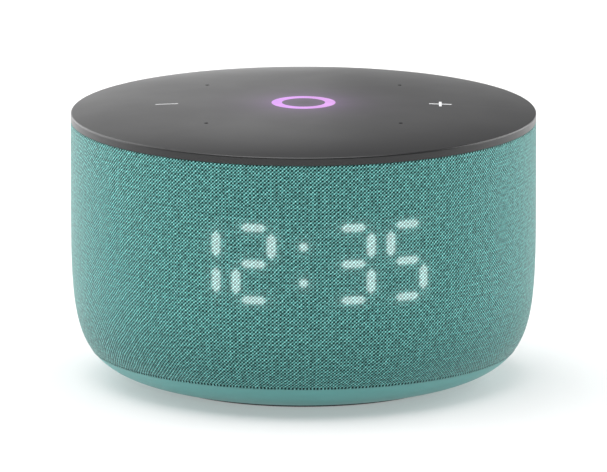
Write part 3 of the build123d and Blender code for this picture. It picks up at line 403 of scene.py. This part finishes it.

# %% Colour, relief and light of the knit
# The pale teal is a painted highlight: the shine of the floating yarn put into its colour.
ground_teal, painted_highlight_teal = (0.040, 0.225, 0.208, 1), (0.36, 0.83, 0.79, 1)
hole_dark = (0.001, 0.014, 0.014, 1)
yarn = blend_colours(knit, float_yarn, ground_teal, painted_highlight_teal)
yarn = blend_colours(knit, 1.0, yarn, yarn_shade, "MULTIPLY")
cloth_colour = blend_colours(knit, hole, yarn, hole_dark)
plug(knit, cloth_colour, knit_shader, "Base Color")
hole_rise, yarn_rise = -1.0, 0.6
height = maths(knit, "MULTIPLY_ADD", hole, hole_rise, maths(knit, "MULTIPLY", float_yarn, yarn_rise))
relief = add_node(knit, "ShaderNodeBump", {"Height": height, "Strength": 0.55, "Distance": 0.2 * MM})
plug(knit, relief.outputs["Normal"], knit_shader, "Normal")
knit_shader.inputs["Roughness"].default_value = 0.8
knit_shader.inputs["Specular IOR Level"].default_value = 0.25
knit_shader.inputs["Sheen Weight"].default_value = 0.5
knit_shader.inputs["Sheen Roughness"].default_value = 0.3
knit_shader.inputs["Sheen Tint"].default_value = (0.97, 1.0, 1.0, 1)
glow = add_node(knit, "ShaderNodeAttribute", attribute_name="light_through").outputs["Fac"]
ground_light, yarn_light, hole_light = 0.36, 0.30, -0.10  # what each part of the knit adds to the glow
weave_light = maths(knit, "MULTIPLY_ADD", float_yarn, yarn_light, ground_light)
weave_light = maths(knit, "MULTIPLY_ADD", hole, hole_light, weave_light)
knit_shader.inputs["Emission Color"].default_value = (0.84, 1.0, 0.98, 1)
plug(knit, maths(knit, "MULTIPLY", glow, weave_light), knit_shader, "Emission Strength")
sleeve_mesh.materials.append(knit)
print("knit finished")


# %% [markdown]
# ## Moulded plastic
# Most of what is left is injection-moulded plastic. A mould leaves a fine spark-eroded grain, and handling
# makes the gloss a little uneven, so one recipe serves every plastic: grain as relief, and a slow noise in
# the colour and the roughness.

# %% Recipe for moulded plastic
def moulded(name, colour, roughness, grain=0.12, shade=0.06, gloss_change=0.06):
    """Satin moulded plastic with a fine grain."""
    finish, shader = new_finish(name)
    place = add_node(finish, "ShaderNodeTexCoord").outputs["Object"]
    fine_grain = add_node(finish, "ShaderNodeTexNoise", {"Vector": place, "Scale": 5200.0, "Detail": 2.0})
    cloud = add_node(finish, "ShaderNodeTexNoise", {"Vector": place, "Scale": 45.0, "Detail": 3.0})
    darker = tuple(c * (1 - shade) for c in colour) + (1,)
    lighter = tuple(c * (1 + shade) for c in colour) + (1,)
    plug(finish, blend_colours(finish, cloud.outputs["Fac"], darker, lighter), shader, "Base Color")
    smooth, rough = roughness - gloss_change, roughness + gloss_change
    gloss = smooth_step(finish, cloud.outputs["Fac"], 0.25, 0.75, smooth, rough)
    plug(finish, gloss, shader, "Roughness")
    bumps = {"Height": fine_grain.outputs["Fac"], "Strength": grain, "Distance": 0.05 * MM}
    relief = add_node(finish, "ShaderNodeBump", bumps)
    plug(finish, relief.outputs["Normal"], shader, "Normal")
    return finish, shader


base_plastic, _ = moulded("teal_moulded_base", (0.122, 0.365, 0.35), 0.42)
port_plastic, _ = moulded("teal_port_panel", (0.06, 0.2, 0.19), 0.45)
slider_plastic, _ = moulded("slider_plastic", (0.09, 0.29, 0.275), 0.4)
black_plastic, _ = moulded("black_moulding", (0.018, 0.018, 0.02), 0.5)
connector_plastic, _ = moulded("connector_nylon", (0.62, 0.58, 0.46), 0.45)
print("plastics ready")

# %% [markdown]
# ## The touch cover
# The cover is dark grey plastic, painted with a very fine satin coat. In the middle a ring-shaped light
# guide glows, and a little of its light scatters inside the paint round it. That spill depends only on the
# distance from the ring, so it is worked out from the place on the cover and added as a faint glow of its
# own.

# %% Finish of the touch cover
ring_inner, ring_outer = 5.2 * MM, 7.7 * MM
ring_middle = (ring_inner + ring_outer) / 2
cover_paint, cover_shader = moulded(
    "cover_paint", (0.010, 0.010, 0.011), 0.30, grain=0.03, shade=0.05, gloss_change=0.02
)
cover_shader.inputs["Specular IOR Level"].default_value = 0.62
cover_place = add_node(cover_paint, "ShaderNodeTexCoord").outputs["Object"]
cover_split = add_node(cover_paint, "ShaderNodeSeparateXYZ", {"Vector": cover_place})
flat_place = add_node(
    cover_paint, "ShaderNodeCombineXYZ", {"X": cover_split.outputs["X"], "Y": cover_split.outputs["Y"]}
)
from_axis = add_node(
    cover_paint, "ShaderNodeVectorMath", {0: flat_place.outputs["Vector"]}, operation="LENGTH"
).outputs["Value"]
from_ring = maths(cover_paint, "ABSOLUTE", maths(cover_paint, "SUBTRACT", from_axis, ring_middle))
spill_reach, spill_strength = 4.6 * MM, 0.15
spill = maths(cover_paint, "DIVIDE", from_ring, -spill_reach)
spill = maths(cover_paint, "MULTIPLY", maths(cover_paint, "EXPONENT", spill), spill_strength)
on_top = smooth_step(cover_paint, cover_split.outputs["Z"], 65.5 * MM, 66.5 * MM)
cover_shader.inputs["Emission Color"].default_value = (0.62, 0.28, 0.85, 1)
plug(cover_paint, maths(cover_paint, "MULTIPLY", spill, on_top), cover_shader, "Emission Strength")
print("ring from", ring_inner / MM, "to", ring_outer / MM, "mm")

# %% Finish of the glowing ring and of the two marks
ring_glow, ring_shader = new_finish("ring_glow")
ring_place = add_node(ring_glow, "ShaderNodeTexCoord").outputs["Object"]
ring_split = add_node(ring_glow, "ShaderNodeSeparateXYZ", {"Vector": ring_place})
sideways = smooth_step(ring_glow, ring_split.outputs["X"], -ring_outer, ring_outer)
ring_cloud = add_node(ring_glow, "ShaderNodeTexNoise", {"Vector": ring_place, "Scale": 260.0, "Detail": 1.0})
ring_colour = blend_colours(ring_glow, sideways, (0.74, 0.33, 1.0, 1), (0.82, 0.38, 0.95, 1))
plug(ring_glow, ring_colour, ring_shader, "Emission Color")
dimmest, brightest = 0.65, 0.83
ring_strength = smooth_step(ring_glow, ring_cloud.outputs["Fac"], 0.2, 0.8, dimmest, brightest)
plug(ring_glow, ring_strength, ring_shader, "Emission Strength")
ring_shader.inputs["Base Color"].default_value = (0.12, 0.05, 0.14, 1)
ring_shader.inputs["Roughness"].default_value = 0.35


def lit_mark(name, colour, strength):
    """Frosted plastic with a light behind it."""
    finish, shader = new_finish(name)
    place = add_node(finish, "ShaderNodeTexCoord").outputs["Object"]
    frost = add_node(finish, "ShaderNodeTexNoise", {"Vector": place, "Scale": 1500.0, "Detail": 1.0})
    dimmer, brighter = strength * 0.85, strength * 1.1
    level = smooth_step(finish, frost.outputs["Fac"], 0.2, 0.8, dimmer, brighter)
    plug(finish, level, shader, "Emission Strength")
    shader.inputs["Emission Color"].default_value = colour
    shader.inputs["Base Color"].default_value = (0.5, 0.5, 0.5, 1)
    shader.inputs["Roughness"].default_value = 0.4
    return finish


minus_glow = lit_mark("minus_glow", (0.8, 0.82, 0.84, 1), 0.25)
plus_glow = lit_mark("plus_glow", (0.95, 0.97, 1.0, 1), 0.6)
print("cover lights ready")


# %% [markdown]
# ## Metals, boards, rubber, paper and cloth inside
# The inside shows only when the speaker is taken apart, yet each piece has its own stuff: drawn steel with
# fine lines, circuit boards with traces under green lacquer, pressed paper, soft rubber. Three short
# recipes cover them: one for metals, one for boards and one for everything with a crumbly surface.

# %% Recipes for the inner pieces
def metal(name, colour, roughness, lines=0.25):
    """Metal with fine drawn lines."""
    finish, shader = new_finish(name)
    place = add_node(finish, "ShaderNodeTexCoord").outputs["Object"]
    stretched = add_node(finish, "ShaderNodeMapping", {"Vector": place, "Scale": (220.0, 220.0, 5200.0)})
    drawn_settings = {"Vector": stretched.outputs["Vector"], "Scale": 1.0, "Detail": 3.0}
    drawn = add_node(finish, "ShaderNodeTexNoise", drawn_settings)
    darker = tuple(c * 0.86 for c in colour) + (1,)
    plug(finish, blend_colours(finish, drawn.outputs["Fac"], darker, (*colour, 1)), shader, "Base Color")
    gloss = smooth_step(finish, drawn.outputs["Fac"], 0.2, 0.8, roughness, roughness + lines)
    plug(finish, gloss, shader, "Roughness")
    shader.inputs["Metallic"].default_value = 1.0
    return finish


def circuit_board(name, colour, trace_colour):
    """Lacquered board with faint traces."""
    finish, shader = new_finish(name)
    place = add_node(finish, "ShaderNodeTexCoord").outputs["Object"]
    pattern = {"Vector": place, "Scale": 420.0, "Mortar Size": 0.06}
    pattern |= {"Color1": (0, 0, 0, 1), "Color2": (0.35, 0.35, 0.35, 1), "Mortar": (1, 1, 1, 1)}
    traces = add_node(finish, "ShaderNodeTexBrick", pattern)
    grey = add_node(finish, "ShaderNodeSeparateColor", {"Color": traces.outputs["Color"]}).outputs["Red"]
    plug(finish, blend_colours(finish, grey, (*colour, 1), (*trace_colour, 1)), shader, "Base Color")
    relief = add_node(finish, "ShaderNodeBump", {"Height": grey, "Strength": 0.3, "Distance": 0.04 * MM})
    plug(finish, relief.outputs["Normal"], shader, "Normal")
    shader.inputs["Roughness"].default_value = 0.3
    return finish


def fibrous(name, colour, scale, roughness, depth):
    """Rubber, foam, pressed paper or stiffened cloth: matt, with a crumbly relief."""
    finish, shader = new_finish(name)
    place = add_node(finish, "ShaderNodeTexCoord").outputs["Object"]
    crumbs = add_node(finish, "ShaderNodeTexVoronoi", {"Vector": place, "Scale": scale})
    cloud = add_node(finish, "ShaderNodeTexNoise", {"Vector": place, "Scale": scale / 12, "Detail": 3.0})
    darker = tuple(c * 0.75 for c in colour) + (1,)
    plug(finish, blend_colours(finish, cloud.outputs["Fac"], darker, (*colour, 1)), shader, "Base Color")
    relief = add_node(
        finish, "ShaderNodeBump", {"Height": crumbs.outputs["Distance"], "Strength": 0.4, "Distance": depth}
    )
    plug(finish, relief.outputs["Normal"], shader, "Normal")
    gloss_change = 0.08
    smooth, rough = roughness - gloss_change, roughness + gloss_change
    plug(finish, smooth_step(finish, cloud.outputs["Fac"], 0.2, 0.8, smooth, rough), shader, "Roughness")
    return finish


print("recipes ready")

# %% [markdown]
# ## One finish for each material of the model
# The model's record names a material for every piece. A table from those names to finishes means that no
# piece can be forgotten: a piece without an entry stops the script here. Only the rear panel is picked by
# its own name, because its teal is darker than that of the base.

# %% Give every solid piece its finish
finishes = {
    "cover_grey": cover_paint,
    "glow_ring": ring_glow,
    "minus_mark": minus_glow,
    "plus_mark": plus_glow,
    "sleeve_fabric": knit,
    "base_teal": base_plastic,
    "foot_rubber": fibrous("foot_rubber", (0.045, 0.047, 0.05), 1600.0, 0.75, 0.05 * MM),
    "slider_grey": slider_plastic,
    "socket_steel": metal("drawn_steel", (0.56, 0.57, 0.58), 0.28),
    "black_plastic": black_plastic,
    "lit_lens": lit_mark("lit_lens", (0.72, 1.0, 0.97, 1), 1.6),
    "dark_lens": moulded("frosted_lens", (0.42, 0.44, 0.44), 0.5)[0],
    "flex_amber": circuit_board("polyimide_film", (0.33, 0.14, 0.02), (0.5, 0.24, 0.05)),
    "led_white": moulded("lamp_package", (0.8, 0.76, 0.55), 0.3)[0],
    "foam_black": fibrous("black_foam", (0.03, 0.03, 0.032), 2600.0, 0.9, 0.08 * MM),
    "board_green": circuit_board("green_lacquer", (0.012, 0.10, 0.045), (0.03, 0.19, 0.08)),
    "chip_metal": metal("tinned_can", (0.62, 0.62, 0.6), 0.3, lines=0.15),
    "chip_black": moulded("chip_epoxy", (0.022, 0.022, 0.024), 0.55)[0],
    "can_aluminium": metal("brushed_aluminium", (0.78, 0.79, 0.8), 0.3),
    "connector_white": connector_plastic,
    "pad_grey": fibrous("silicone_pad", (0.3, 0.36, 0.42), 900.0, 0.6, 0.03 * MM),
    "basket_steel": moulded("basket_coating", (0.02, 0.02, 0.021), 0.35, grain=0.3)[0],
    "magnet_ferrite": fibrous("ground_ferrite", (0.06, 0.06, 0.065), 1400.0, 0.6, 0.02 * MM),
    "coil_copper": metal("copper_winding", (0.72, 0.33, 0.16), 0.3),
    "cone_paper": fibrous("pressed_paper", (0.05, 0.05, 0.052), 1100.0, 0.85, 0.06 * MM),
    "surround_rubber": fibrous("surround_rubber", (0.025, 0.025, 0.027), 1900.0, 0.6, 0.02 * MM),
    "spider_cloth": fibrous("spider_cloth", (0.42, 0.27, 0.1), 1300.0, 0.85, 0.08 * MM),
    "lead_insulation": moulded("lead_insulation", (0.4, 0.02, 0.02), 0.35)[0],
    "screw_steel": metal("black_zinc_screw", (0.2, 0.2, 0.21), 0.35),
}
slot_of = {part["node"]: part["material_slot"] for part in record["subparts"]}
for name, piece in nodes.items():
    finish = port_plastic if name == "rear_port_panel" else finishes[slot_of[name]]
    for place in piece.material_slots:
        place.material = finish
print(len(finishes), "finishes on", len(nodes), "pieces")

# %% [markdown]
# ## Floor
# The speaker stands on a plain pale table, as for a catalogue. Such a table is often lit from below so that
# shadows stay faint, and here the floor gives off a little light of its own. It gives more further off, so
# that it runs into the white background with no horizon.

# %% Floor
floor_half = 14.0
floor_corners = [(x * floor_half, y * floor_half, 0.0) for x, y in ((-1, -1), (1, -1), (1, 1), (-1, 1))]
floor_mesh = bpy.data.meshes.new("floor")
floor_mesh.from_pydata(floor_corners, [], [(0, 1, 2, 3)])
floor = bpy.data.objects.new("floor", floor_mesh)
bpy.context.scene.collection.objects.link(floor)
floor_paint, floor_shader = new_finish("pale_sweep")
floor_place = add_node(floor_paint, "ShaderNodeTexCoord").outputs["Object"]
slow_cloud = {"Vector": floor_place, "Scale": 3.0, "Detail": 2.0}
floor_cloud = add_node(floor_paint, "ShaderNodeTexNoise", slow_cloud)
duller, paler = (0.62, 0.62, 0.62, 1), (0.66, 0.66, 0.66, 1)
floor_grey = blend_colours(floor_paint, floor_cloud.outputs["Fac"], duller, paler)
plug(floor_paint, floor_grey, floor_shader, "Base Color")
floor_shader.inputs["Roughness"].default_value = 0.9
floor_shader.inputs["Specular IOR Level"].default_value = 0.1
floor_shader.inputs["Emission Color"].default_value = (1, 1, 1, 1)
near, far = 0.3, 1.6  # metres from the drum's axis
near_glow, far_glow = 0.32, 1.0
from_drum = add_node(floor_paint, "ShaderNodeVectorMath", {0: floor_place}, operation="LENGTH")
table_glow = smooth_step(floor_paint, from_drum.outputs["Value"], near, far, near_glow, far_glow)
plug(floor_paint, table_glow, floor_shader, "Emission Strength")
floor_mesh.materials.append(floor_paint)
print("floor ready")

# %% [markdown]
# ## Surrounding light
# The surround works like the white tent of a product studio. It is brightest behind and to the left, and
# dimmer on the viewer's side and overhead. That is what makes a drum read as round: its edges mirror the
# bright side and its middle mirrors the dim one. Three ramps, one for each direction, multiply into that
# tent. Seen directly the surround is plain white, so the background stays clean.

# %% Surrounding light
world = bpy.data.worlds.new("bright_surround")
bpy.context.scene.world = world
world.use_nodes = True
tree = world.node_tree
background = tree.nodes["Background"]
direction = tree.nodes.new("ShaderNodeTexCoord")
parts = tree.nodes.new("ShaderNodeSeparateXYZ")
tree.links.new(direction.outputs["Generated"], parts.inputs[0])


def world_ramp(socket, low, high, to_low, to_high):
    """Eases the surround's strength along one direction."""
    ramp = tree.nodes.new("ShaderNodeMapRange")
    ramp.interpolation_type = "SMOOTHSTEP"
    for key, value in zip(("From Min", "From Max", "To Min", "To Max"), (low, high, to_low, to_high)):
        ramp.inputs[key].default_value = value
    tree.links.new(socket, ramp.inputs["Value"])
    return ramp.outputs["Result"]


def world_maths(operation, first, second):
    """The result of one sum on two sockets of the surround."""
    node = tree.nodes.new("ShaderNodeMath")
    node.operation = operation
    tree.links.new(first, node.inputs[0])
    tree.links.new(second, node.inputs[1])
    return node.outputs[0]


front_to_back = world_ramp(parts.outputs["Y"], low=-0.6, high=0.5, to_low=0.42, to_high=0.66)
left_to_right = world_ramp(parts.outputs["X"], low=-0.5, high=0.5, to_low=1.15, to_high=0.4)
low_to_high = world_ramp(parts.outputs["Z"], low=0.05, high=0.5, to_low=1.1, to_high=0.45)
tent = world_maths("MULTIPLY", world_maths("MULTIPLY", front_to_back, left_to_right), low_to_high)
seen_directly = tree.nodes.new("ShaderNodeLightPath").outputs["Is Camera Ray"]
tree.links.new(world_maths("MAXIMUM", tent, seen_directly), background.inputs["Strength"])
background.inputs["Color"].default_value = (1, 1, 1, 1)
print("surround ready")


# %% [markdown]
# ## Lamps
# One wide softbox hangs overhead and gives the knit its relief. Two more stand behind the drum, left and
# right, and light its sides. They are large so that no view mirrors a hard patch in the cover. A faint card
# behind to the left gives the far half of the cover its slow change from pale to dark.

# %% Soft lamps
def soft_lamp(name, place, target, size, power):
    """A square lamp that faces a point."""
    lamp = bpy.data.lights.new(name, "AREA")
    lamp.size, lamp.energy = size, power
    holder = bpy.data.objects.new(name, lamp)
    holder.location = place
    holder.rotation_euler = (Vector(target) - Vector(place)).to_track_quat("-Z", "Y").to_euler()
    bpy.context.scene.collection.objects.link(holder)


soft_lamp("top_softbox", place=(-0.1, -0.15, 1.3), target=(0, -0.05, 0.0), size=1.3, power=17.0)
soft_lamp("left_softbox", place=(-0.64, 0.44, 0.3), target=(-0.1, 0.1, 0.02), size=1.0, power=6.4)
soft_lamp("right_softbox", place=(0.88, 0.45, 0.35), target=(0.15, 0.1, 0.02), size=1.1, power=10.0)
soft_lamp("back_left_card", place=(-0.10, 0.36, 0.13), target=(-0.02, 0.0, 0.066), size=0.22, power=0.045)
print("lamps ready")

# %% [markdown]
# ## Camera
# A long lens from a few metres away keeps the drum's circles nearly the same size front and back. The
# camera looks down by a little under twelve degrees, and its lens is set so that the frame is a known width
# at the drum.

# %% Camera
look_down = math.radians(11.74)
distance, seen_width, aim_height = 4.5, 0.1462, 34.37 * MM
camera_data = bpy.data.cameras.new("camera")
camera_data.sensor_width = 36.0
camera_data.lens = camera_data.sensor_width * distance / seen_width
camera_data.clip_end = 20.0
camera = bpy.data.objects.new("camera", camera_data)
away = Vector((0, -math.cos(look_down), math.sin(look_down)))
camera.location = away * distance + Vector((0, 0, aim_height))
camera.rotation_euler = (math.pi / 2 - look_down, 0, 0)
bpy.context.scene.collection.objects.link(camera)
bpy.context.scene.camera = camera
bpy.context.scene.view_settings.view_transform = "Standard"
print("lens", round(camera_data.lens), "mm")
